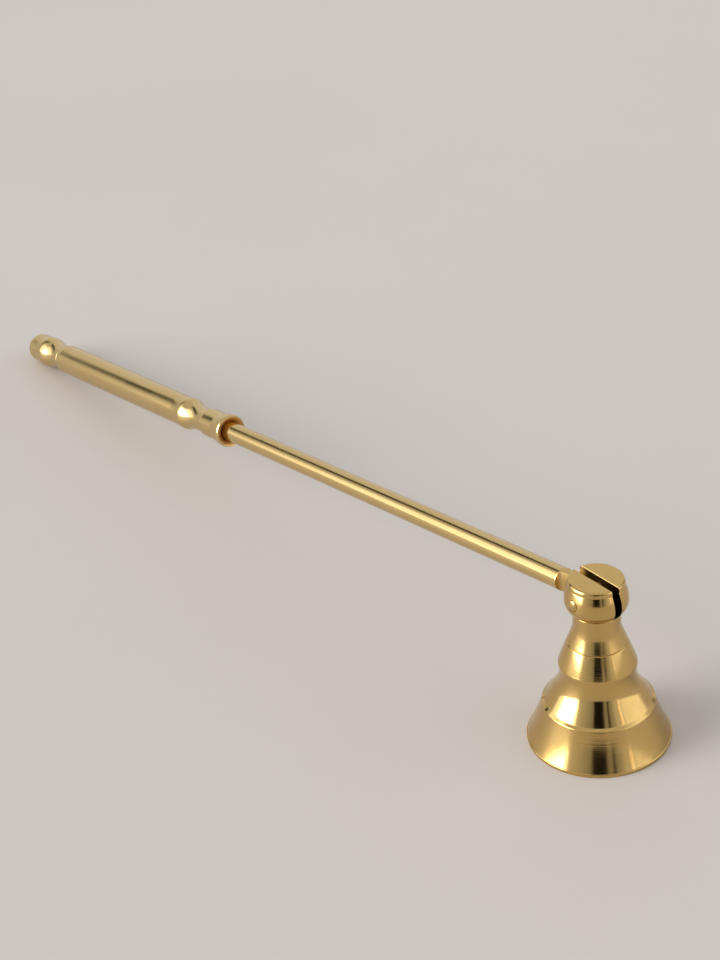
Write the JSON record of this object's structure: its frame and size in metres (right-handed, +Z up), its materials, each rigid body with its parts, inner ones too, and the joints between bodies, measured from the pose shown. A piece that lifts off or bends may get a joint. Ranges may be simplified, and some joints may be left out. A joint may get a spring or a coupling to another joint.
{
  "type": "candle snuffer",
  "caption": "Hinged candle snuffer: a turned, tiered bell with a slotted knuckle on its neck, riveted to a long round stick with a dished collar, a barrel grip and a round-ended knob.",
  "frame": {"origin": "centre of the bell's rim, on the table", "axes": "+Z up along the bell's axis, the stick leaves the knuckle towards -X, and the rivet lies along Y"},
  "size_m": [0.3089, 0.037, 0.0475],
  "materials": {
    "polished_brass": "polished",
    "satin_brass": "satin",
    "plain_brass": "as turned",
    "washer_steel": "zinc plated"
  },
  "bodies": {
    "head": {"bell": "polished_brass", "knuckle": "polished_brass", "rivet": "polished_brass", "lock_washer": "washer_steel", "nut": "plain_brass"},
    "stick": {"rod": "satin_brass", "collar": "satin_brass", "grip": "satin_brass", "knob": "satin_brass"}
  },
  "joints": [
    {"name": "stick_hinge", "type": "hinge", "parent": "head", "child": "stick", "pos_m": [0, 0, 0.043], "axis": [0, 1, 0], "range_deg": [-1.15, 196.35]}
  ]
}
